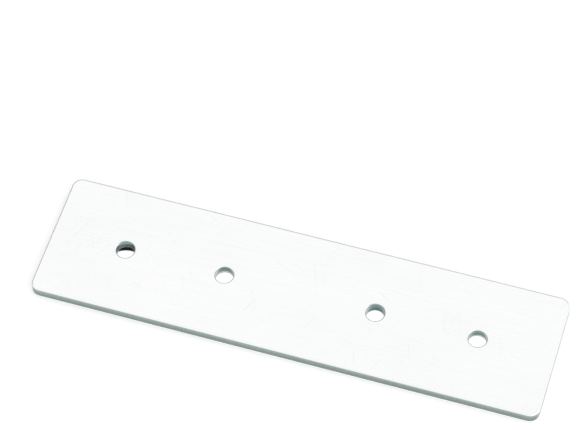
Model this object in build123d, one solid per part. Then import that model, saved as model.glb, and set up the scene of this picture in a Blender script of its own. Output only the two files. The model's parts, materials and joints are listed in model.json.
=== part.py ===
from build123d import *
import os

# Extrusion joining plate: a flat metal plate that bridges the butt joint between
# two lengths of framing extrusion. Two screws go into each extrusion, on the
# plate's centre line, and the wider gap in the middle straddles the joint.
#
# Frame: +X along the plate, +Y across it, +Z up. The origin is at the centre of
# the underside, on the joint line. All sizes are in millimetres.
#
# It is pierced and cut from sheet by a punch that comes down from above. So the
# edges on top are rolled over, and those below are sharp with the burr taken off.

# Driving dimensions
plate_width = 40.0          # the face of the extrusion that it covers
plate_thickness = 3.2
corner_radius = 3.0         # the four corners, seen from above
rim_radius = 0.6            # rounding where the top face rolls over to the sides
burr_radius = 0.2           # rounding of every edge of the underside

joint_to_hole = 22.5        # from the joint line to the nearest hole on each side
hole_pitch = 30.0           # between the two holes of one extrusion
hole_to_end = 22.5          # from the outer hole to the plate's end
screw_diameter = 5.0
screw_clearance = 0.3       # on the diameter, a close fit
hole_rim_radius = 0.4       # rounding at the top of a hole

# Sizes that follow
plate_length = 2 * (joint_to_hole + hole_pitch + hole_to_end)
hole_diameter = screw_diameter + screw_clearance


def hole_centres():
    """The four screw holes, a mirrored pair on each side of the joint line."""
    pair = (joint_to_hole, joint_to_hole + hole_pitch)
    return [(side * x, 0) for side in (-1, 1) for x in pair]


def build_plate():
    """The plate, cut to its outline and pierced, with the edges eased on each side."""
    with BuildPart() as plate:
        with BuildSketch():
            RectangleRounded(plate_length, plate_width, corner_radius)
        extrude(amount=plate_thickness)
        top_face = plate.faces().sort_by(Axis.Z)[-1]
        fillet(top_face.edges(), radius=rim_radius)

        with BuildSketch():
            with Locations(*hole_centres()):
                Circle(hole_diameter / 2)
        extrude(amount=plate_thickness, mode=Mode.SUBTRACT)
        hole_ends = plate.edges(Select.LAST).filter_by(GeomType.CIRCLE)
        fillet(hole_ends.group_by(Axis.Z)[-1], radius=hole_rim_radius)

        underside = plate.faces().sort_by(Axis.Z)[0]
        fillet(underside.edges(), radius=burr_radius)
    return plate.part


os.makedirs("parts", exist_ok=True)
export_step(build_plate(), "parts/joining_plate.step")
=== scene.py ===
import json
import math
from types import SimpleNamespace

import bpy
from mathutils import Matrix, Vector


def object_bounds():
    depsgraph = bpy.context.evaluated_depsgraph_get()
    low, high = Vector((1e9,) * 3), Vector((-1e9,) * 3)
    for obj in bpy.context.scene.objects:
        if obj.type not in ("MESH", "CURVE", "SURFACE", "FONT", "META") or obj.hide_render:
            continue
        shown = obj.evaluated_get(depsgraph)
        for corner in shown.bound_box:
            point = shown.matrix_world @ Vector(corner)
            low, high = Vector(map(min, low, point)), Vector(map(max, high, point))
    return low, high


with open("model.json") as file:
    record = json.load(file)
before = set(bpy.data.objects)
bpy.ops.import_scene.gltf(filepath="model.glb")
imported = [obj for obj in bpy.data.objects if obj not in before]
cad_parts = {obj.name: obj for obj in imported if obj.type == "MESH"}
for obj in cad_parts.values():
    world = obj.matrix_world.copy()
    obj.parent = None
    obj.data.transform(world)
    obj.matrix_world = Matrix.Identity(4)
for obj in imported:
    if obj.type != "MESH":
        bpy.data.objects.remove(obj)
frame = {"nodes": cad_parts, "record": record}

cadLow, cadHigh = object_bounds()
millimetre = 0.001
plate = frame["nodes"]["joining_plate"]
plateMiddle = (cadLow + cadHigh) / 2
plateHeight = cadHigh.z - cadLow.z
print("frame loaded: plate", [round(side / millimetre, 2) for side in cadHigh - cadLow], "mm")

# the screw holes are the record's bores, two on each side of the joint
holes = [mount for mount in frame["record"]["mounts"] if mount["kind"] == "bore"]
holeRadius = holes[0]["dims"]["r_mm"] * millimetre
nearHole = min(abs(hole["pos_m"][0]) for hole in holes)
farHole = max(abs(hole["pos_m"][0]) for hole in holes)


class Wire:
    # an output of the node tree: a sum written with it adds the Math nodes that work it out
    def __init__(self, tree, socket=None):
        self.tree = tree
        self.socket = socket

    def node(self, kind, settings=None, sockets=None, output=0):
        made = self.tree.nodes.new(kind)
        for name, value in (settings or {}).items():
            setattr(made, name, value)
        for name, value in (sockets or {}).items():
            if isinstance(value, Wire):
                self.tree.links.new(value.socket, made.inputs[name])
            else:
                made.inputs[name].default_value = value
        return None if output is None else Wire(self.tree, made.outputs[output])

    def beside(self, output):
        # another output of the same node
        return Wire(self.tree, self.socket.node.outputs[output])

    def maths(self, operation, *values):
        return self.node("ShaderNodeMath", {"operation": operation}, dict(enumerate(values)))

    def __add__(self, other):
        return self.maths("ADD", self, other)

    def __radd__(self, other):
        return self.maths("ADD", other, self)

    def __sub__(self, other):
        return self.maths("SUBTRACT", self, other)

    def __rsub__(self, other):
        return self.maths("SUBTRACT", other, self)

    def __mul__(self, other):
        return self.maths("MULTIPLY", self, other)

    def __rmul__(self, other):
        return self.maths("MULTIPLY", other, self)

    def __truediv__(self, other):
        return self.maths("DIVIDE", self, other)

    def __pow__(self, other):
        return self.maths("POWER", self, other)

    def __abs__(self):
        return self.maths("ABSOLUTE", self)


def ramp(wire, start, end):
    # 0 before start, 1 after end and a soft step between them
    ends = {"Value": wire, "From Min": start, "From Max": end}
    return wire.node("ShaderNodeMapRange", {"interpolation_type": "SMOOTHSTEP"}, ends)


def largest(first, *others):
    for other in others:
        first = first.maths("MAXIMUM", first, other)
    return first


def blendColour(share, first, second):
    settings = {"data_type": "RGBA"}
    return share.node("ShaderNodeMix", settings, {0: share, 6: first, 7: second}, output=2)


def scaleColour(colour, amount):
    return amount.node("ShaderNodeVectorMath", {"operation": "SCALE"}, {0: colour, "Scale": amount})


def noise(place, pattern, turn=0.0):
    # stretch is how many times it repeats in a metre along each axis, once turn has swung it about Z
    swing = (0.0, 0.0, math.radians(turn))
    turned = place.node("ShaderNodeMapping", {}, {"Vector": place, "Rotation": swing})
    scaled = place.node("ShaderNodeMapping", {}, {"Vector": turned, "Scale": pattern["stretch"]})
    sockets = {"Vector": scaled, "Scale": 1.0,
               "Detail": pattern["detail"], "Roughness": pattern["roughness"]}
    return place.node("ShaderNodeTexNoise", {}, sockets)


def fromHole(x, y):
    # how far a point lies from the nearest hole's axis: the four holes are folded onto one
    aside = abs(abs(x) - (nearHole + farHole) / 2) - (farHole - nearHole) / 2
    return (aside * aside + y * y) ** 0.5


def inside(distance, band):
    # 1 up to the first of two distances, which are in hole radii, and 0 from the second
    return 1 - ramp(distance, band[0] * holeRadius, band[1] * holeRadius)


def newMaterial(name):
    material = bpy.data.materials.new(name)
    material.use_nodes = True
    material.node_tree.nodes.clear()
    return material, Wire(material.node_tree)


def surface(shader):
    shader.node("ShaderNodeOutputMaterial", {}, {"Surface": shader}, output=None)


# rolled satin faces, bright rounded rims, and sheared sides: slid smooth above and torn rough below
satinMetal = {
    "faceColour": (0.98, 0.985, 0.985, 1.0),
    "rimColour": (0.94, 0.95, 0.95, 1.0),
    # the long sides' colour: partly the duller sheared metal, partly painted shade
    "sideColour": (0.34, 0.405, 0.395, 1.0),
    "litEndColour": (0.59, 0.61, 0.61, 1.0),      # painted light: the ends are lighter than the long sides
    # painted shade: the hole walls darker than the sides
    "shadedHoleColour": (0.155, 0.23, 0.223, 1.0),
    "holeLitColour": (0.60, 0.64, 0.635, 1.0),      # painted light on its left and right, and a painted reflection at the foot of a bright one
    "faceRoughness": 0.18,
    "edgeRoughness": 0.30,
    "tornRoughness": 0.45,
    # where one kind of surface gives way to the next: by how upright its normal stands, or how far it turns
    # to an end, or the depth as a share of the thickness
    "cutSpan": (0.975, 0.9995),
    "wallSpan": (0.15, 0.68),
    "endSpan": (0.75, 0.98),
    "tornSpan": (0.30, 0.60),
    "footShadowSpan": (0.86, 0.96),
    "tornAndShadeTone": 0.10,         # how much darker the torn part of a side is: partly the rougher torn metal, partly painted shade towards the bottom
    "footShadowTone": 0.20,         # and the painted contact shadow along its foot
    "tornCloud": 0.35,        # how far the torn part's upper edge wanders with the clouds
    "tornDrag": 0.20,         # and with the drag lines
    # depth is how much darker a pattern makes the metal, between the two levels of the noise in span
    "grain": {"stretch": (45.0, 2600.0, 2600.0), "detail": 5.0, "roughness": 0.6,
              "span": (0.35, 0.75), "depth": 0.02},
    "cloud": {"stretch": (35.0, 60.0, 60.0), "detail": 3.0, "roughness": 0.5,
              "span": (0.30, 0.70), "depth": 0.015},
    "drag": {"stretch": (3200.0, 3200.0, 130.0), "detail": 3.0, "roughness": 0.6,
             "span": (0.30, 0.70), "depth": 0.10},
    "grit": {"stretch": (2800.0, 2800.0, 2800.0), "detail": 4.0, "roughness": 0.7,
             "span": (0.35, 0.65), "depth": 0.10},
    "scratch": {"stretch": (70.0, 4200.0, 70.0), "detail": 2.0, "roughness": 0.5,
                "span": (0.70, 0.76), "depth": 0.05},
    "scratchTurns": (24.0, -67.0, 71.0),       # one lot of scratches for each, and the sway bends them
    "sway": {"stretch": (30.0, 30.0, 30.0), "detail": 1.0, "roughness": 0.5},
    "swayReach": (0.005, 0.005, 0.0),
    "unevenness": {"grain": 0.08, "cloud": 0.08, "scratch": 0.15},      # of the roughness
    "bump": {"strength": 0.4, "distance": 0.00001, "drag": 0.6},        # the last is the drag lines' share
}

# painted shade and light that differ from hole to hole. Of each: how far the rolled edge at the back takes
# the sides' colour as painted shade, the painted tone of the wall below it, high and low, where the low
# tone and the foot start, as a share of the thickness, and how pale the painted light makes the foot and
# the left and right
paintedHoleShades = {
    "left_outer_hole": {"edge": 0.90, "wall": (1.70, 1.15), "starts": (0.25, 0.62),
                        "foot": 1.0, "flank": 0.25},
    "left_inner_hole": {"edge": 0.05, "wall": (1.05, 0.95), "starts": (0.30, 0.61),
                        "foot": 1.0, "flank": 1.0},
    "right_inner_hole": {"edge": 0.90, "wall": (1.15, 0.95), "starts": (0.30, 0.80),
                         "foot": 0.0, "flank": 1.0},
    "right_outer_hole": {"edge": 0.03, "wall": (1.35, 1.15), "starts": (0.30, 0.69),
                         "foot": 0.8, "flank": 1.0},
}
holeSoftness = 0.1            # how gently one tone passes into the next, as a share of the thickness

# where what lies round a hole ends, in hole radii: out from its axis, and then towards its back
holeBands = {
    "wall": (1.1, 1.3),
    "rim": (1.3, 1.4),
    "own": (1.5, 1.6),        # what belongs to one hole and not to its neighbour
    "back": (0.2, 0.8),       # the back starts here
    "flank": (0.0, 0.95),     # and the left and right end here
}
noiseNames = ("grain", "cloud", "drag", "grit")
middleOfNoise = 0.5


def readSpot(start, look):
    # where a point of the plate lies and what kind of surface is there, from 0 to 1 for each kind
    place = start.node("ShaderNodeTexCoord", output="Object")
    x = start.node("ShaderNodeSeparateXYZ", {}, {"Vector": place})
    y, z = x.beside("Y"), x.beside("Z")
    facing = start.node("ShaderNodeSeparateXYZ", {}, {"Vector": place.beside("Normal")})
    upright = abs(facing.beside("Z"))                       # 1 on the two flat faces, 0 on the sides
    along = abs(facing.beside("X"))                         # 1 on the two ends
    depth = 1 - (z - cadLow.z) / plateHeight                # 0 at the top face, 1 at the underside
    outward = fromHole(x, y)
    wall = 1 - ramp(upright, *look["wallSpan"])
    return SimpleNamespace(
        place=place, x=x, y=y, depth=depth, outward=outward, wall=wall,
        cut=1 - ramp(upright, *look["cutSpan"]),            # the sides, their rounded rims and the holes
        end=ramp(along, *look["endSpan"]),
        # foot: where the painted contact shadow darkens the foot of every wall
        foot=wall * ramp(depth, *look["footShadowSpan"]),
        inHole=wall * inside(outward, holeBands["wall"]))


def readPatterns(spot, look):
    patterns = {name: noise(spot.place, look[name]) for name in noiseNames}
    clouded, dragged = patterns["cloud"] - middleOfNoise, patterns["drag"] - middleOfNoise
    tornEdge = spot.depth + look["tornCloud"] * clouded + look["tornDrag"] * dragged
    patterns["torn"] = spot.wall * ramp(tornEdge, *look["tornSpan"])

    sway = noise(spot.place, look["sway"]).beside("Color")
    bend = {0: sway, 1: look["swayReach"], 2: spot.place}
    bent = sway.node("ShaderNodeVectorMath", {"operation": "MULTIPLY_ADD"}, bend)
    scratches = [noise(bent, look["scratch"], turn) for turn in look["scratchTurns"]]
    scratched = largest(*[ramp(scratch, *look["scratch"]["span"]) for scratch in scratches])
    patterns["scratched"] = scratched * (1 - spot.cut)
    return patterns


def holeBlends(spot):
    # each hole's own painted shade and light: how far its shaded rolled edge, its wall's painted tone and
    # its painted pale places reach here
    flank = inside(spot.y, holeBands["flank"])
    back = spot.cut * (1 - inside(spot.y, holeBands["back"])) * inside(spot.outward, holeBands["rim"])
    backRimShade, tone, holeLight = 0, 1, 0
    for hole in holes:
        its = paintedHoleShades[hole["name"]]
        high, low = its["wall"]
        lowStart, footStart = its["starts"]
        here = inside(abs(spot.x - hole["pos_m"][0]), holeBands["own"])
        hereBack = here * back
        wallTone = high + ramp(spot.depth, lowStart, lowStart + holeSoftness) * (low - high)
        backRimShade = backRimShade + hereBack * its["edge"]
        tone = tone + hereBack * spot.inHole * (wallTone - 1)
        holeLight = holeLight + here * flank * its["flank"]
        holeLight = holeLight + hereBack * its["foot"] * ramp(spot.depth, footStart, footStart + holeSoftness)
    return backRimShade, tone, holeLight


def metalColour(spot, patterns, look):
    backRimShade, holeWallShade, holeLight = holeBlends(spot)
    # painted light: the ends come out lighter than the shaded long sides
    sides = blendColour(spot.end, look["sideColour"], look["litEndColour"])
    # painted light and reflection on the hole walls
    holeWall = blendColour(holeLight, look["shadedHoleColour"], look["holeLitColour"])
    colour = blendColour(spot.cut, look["faceColour"], look["rimColour"])
    # painted shade: the rolled edge at the back of a hole takes the sides' dark colour
    colour = blendColour(backRimShade, colour, look["sideColour"])
    colour = blendColour(spot.wall, colour, sides)
    colour = blendColour(spot.inHole, colour, holeWall)

    grain, cloud, drag, grit = [
        look[name]["depth"] * ramp(patterns[name], *look[name]["span"]) for name in noiseNames]
    torn = patterns["torn"]
    tone = 1 - (grain + cloud) - spot.wall * (drag + torn * grit)
    tone = tone - look["scratch"]["depth"] * patterns["scratched"]
    # painted shade: partly in the torn part, the contact shadow at the foot and each hole's own wall shade
    tone = tone * (1 - look["tornAndShadeTone"] * torn) * (1 - look["footShadowTone"] * spot.foot) * holeWallShade
    return scaleColour(colour, tone)


def metalRoughness(spot, patterns, look):
    uneven = look["unevenness"]
    roughness = look["faceRoughness"] + uneven["grain"] * (patterns["grain"] - middleOfNoise)
    roughness = roughness + uneven["cloud"] * (patterns["cloud"] - middleOfNoise)
    roughness = roughness + uneven["scratch"] * patterns["scratched"]
    roughness = roughness + spot.cut * (look["edgeRoughness"] - look["faceRoughness"])
    return roughness + patterns["torn"] * (look["tornRoughness"] - look["edgeRoughness"])


def metalBump(spot, patterns, look):
    onFace = (1 - spot.cut) * (patterns["grain"] - patterns["scratched"])
    onWall = spot.wall * (look["drag"] * patterns["drag"] + patterns["torn"] * patterns["grit"])
    return onWall.node("ShaderNodeBump", {}, {
        "Strength": look["strength"], "Distance": look["distance"], "Height": onFace + onWall})


def satinMetalFinish(look):
    material, start = newMaterial("satinMetal")
    spot = readSpot(start, look)
    patterns = readPatterns(spot, look)
    shader = start.node("ShaderNodeBsdfPrincipled", {}, {
        "Base Color": metalColour(spot, patterns, look),
        "Metallic": 1.0,
        "Roughness": metalRoughness(spot, patterns, look),
        "Normal": metalBump(spot, patterns, look["bump"])})
    surface(shader)
    return material


plate.data.materials.clear()
plate.data.materials.append(satinMetalFinish(satinMetal))
print("plate finished")

# a pale floor that shows white, keeps the shadow close under the plate, and is clear from below
studioFloor = {
    "width": 8.0,
    "drop": 0.00002,          # just under the plate
    "colour": (0.93, 0.93, 0.93, 1.0),
    "glow": 0.26,             # added to what the lamps give it, to show white
    "holeGlow": 0.45,         # and under the holes, where the plate keeps the light off
    "glowBand": (0.9, 1.1),   # where that ends, in hole radii, as shadowBand is
    # the deepest shadow is a crescent at the foot of one hole's back wall, outside a circle: how far it
    # starts from the hole's axis, the circle's radius and the soft edge in hole radii, and its turn
    "shadow": {"hole": "left_outer_hole", "start": 0.57, "bend": 2.2, "soft": 0.16, "turn": 14.0},
    "shadowBand": (1.15, 1.25),
    "shadowColour": (0.03, 0.035, 0.035, 1.0),
}


def holeShadow(look, x, y):
    holeX, holeY, _ = next(hole["pos_m"] for hole in holes if hole["name"] == look["hole"])
    turn = math.radians(look["turn"])
    reach = (look["bend"] - look["start"]) * holeRadius
    aside = x - (holeX + reach * math.sin(turn))
    ahead = y - (holeY - reach * math.cos(turn))
    beyond = (aside * aside + ahead * ahead) ** 0.5 - look["bend"] * holeRadius
    return ramp(beyond, 0, look["soft"] * holeRadius) * inside(abs(x - holeX), holeBands["own"])


def floorFinish(look):
    material, start = newMaterial("paleFloor")
    place = start.node("ShaderNodeNewGeometry", output="Position")
    x = start.node("ShaderNodeSeparateXYZ", {}, {"Vector": place})
    y = x.beside("Y")
    outward = fromHole(x, y)
    shadow = holeShadow(look["shadow"], x, y) * inside(outward, look["shadowBand"])
    lit = start.node("ShaderNodeBsdfDiffuse", {}, {
        "Color": blendColour(shadow, look["colour"], look["shadowColour"])})
    seen = start.node("ShaderNodeLightPath", output="Is Camera Ray")
    seen = largest(seen, seen.beside("Is Glossy Ray"), seen.beside("Is Transmission Ray"))
    glow = seen * (1 - shadow) * (look["glow"] + look["holeGlow"] * inside(outward, look["glowBand"]))
    white = start.node("ShaderNodeEmission", {}, {"Color": scaleColour((1.0, 1.0, 1.0), glow)})
    seenFloor = start.node("ShaderNodeAddShader", {}, {0: lit, 1: white})
    below = place.beside("Backfacing")
    clear = start.node("ShaderNodeBsdfTransparent")
    surface(start.node("ShaderNodeMixShader", {}, {0: below, 1: seenFloor, 2: clear}))
    return material


bpy.ops.mesh.primitive_plane_add(size=studioFloor["width"],
                                 location=(plateMiddle.x, plateMiddle.y, cadLow.z - studioFloor["drop"]))
floor = bpy.context.object
floor.name = "studioFloor"
floor.data.materials.append(floorFinish(studioFloor))

# azimuth 0 is in front of the plate and 90 at its right; farSide is what the dark side of the room still
# gives in gloss, and fade holds the cosines, from its bright side, between which it brightens
studioLight = {
    "room": {"strength": 0.88, "azimuth": 30, "elevation": 40, "farSide": 0.28, "fade": (-0.25, 0.0)},
    "keyLamp": {"azimuth": 80, "elevation": 40, "distance": 0.9, "size": (0.7, 0.5), "watts": 1.3},
}


def away(azimuth, elevation, distance):
    flat = math.cos(math.radians(elevation)) * distance
    return Vector((math.sin(math.radians(azimuth)) * flat, -math.cos(math.radians(azimuth)) * flat,
                   math.sin(math.radians(elevation)) * distance))


def addRoom(look):
    # white to the camera and in gloss, where it falls off away from its bright side
    world = bpy.data.worlds.new("whiteRoom")
    world.use_nodes = True
    world.node_tree.nodes.clear()
    start = Wire(world.node_tree)
    seen = start.node("ShaderNodeLightPath", output="Is Camera Ray")
    gloss = largest(seen.beside("Is Glossy Ray"), seen.beside("Is Transmission Ray"))
    towards = start.node("ShaderNodeTexCoord", output="Generated")
    bright = away(look["azimuth"], look["elevation"], 1)
    facing = start.node("ShaderNodeVectorMath", {"operation": "DOT_PRODUCT"},
                        {0: towards, 1: bright}, "Value")
    shade = look["farSide"] + (1 - look["farSide"]) * ramp(facing, *look["fade"])
    level = seen + gloss * shade + (1 - largest(seen, gloss)) * look["strength"]
    background = start.node("ShaderNodeBackground", {}, {"Color": (1.0, 1.0, 1.0, 1.0), "Strength": level})
    start.node("ShaderNodeOutputWorld", {}, {"Surface": background}, output=None)
    bpy.context.scene.world = world


def addLamp(name, look):
    offset = away(look["azimuth"], look["elevation"], look["distance"])
    bpy.ops.object.light_add(type="AREA", location=plateMiddle + offset)
    lamp = bpy.context.object
    lamp.name = name
    lamp.rotation_euler = offset.to_track_quat("Z", "Y").to_euler()
    lamp.data.shape = "RECTANGLE"
    lamp.data.size, lamp.data.size_y = look["size"]
    lamp.data.energy = look["watts"]


addRoom(studioLight["room"])
addLamp("keyLamp", studioLight["keyLamp"])
print("floor and lamps in place")

viewpoint = {
    "aim": (-0.01044, 0.02484),    # level with the top face, from the plate's middle
    "azimuth": 18.82,
    "elevation": 56.65,
    "roll": -2.025,
    "distance": 0.758,
    "lens": 161.79,
    "nearest": 0.01,
}


def addCamera(look):
    aim = Vector((plateMiddle.x + look["aim"][0], plateMiddle.y + look["aim"][1], cadHigh.z))
    turn = (Matrix.Rotation(math.radians(look["azimuth"]), 3, "Z")
            @ Matrix.Rotation(math.radians(90 - look["elevation"]), 3, "X")
            @ Matrix.Rotation(math.radians(look["roll"]), 3, "Z"))
    bpy.ops.object.camera_add(location=aim + away(look["azimuth"], look["elevation"], look["distance"]),
                              rotation=turn.to_euler())
    camera = bpy.context.object
    camera.data.lens = look["lens"]
    camera.data.clip_start = look["nearest"]
    bpy.context.scene.camera = camera


addCamera(viewpoint)
bpy.context.scene.view_settings.view_transform = "Standard"
print("camera in place")
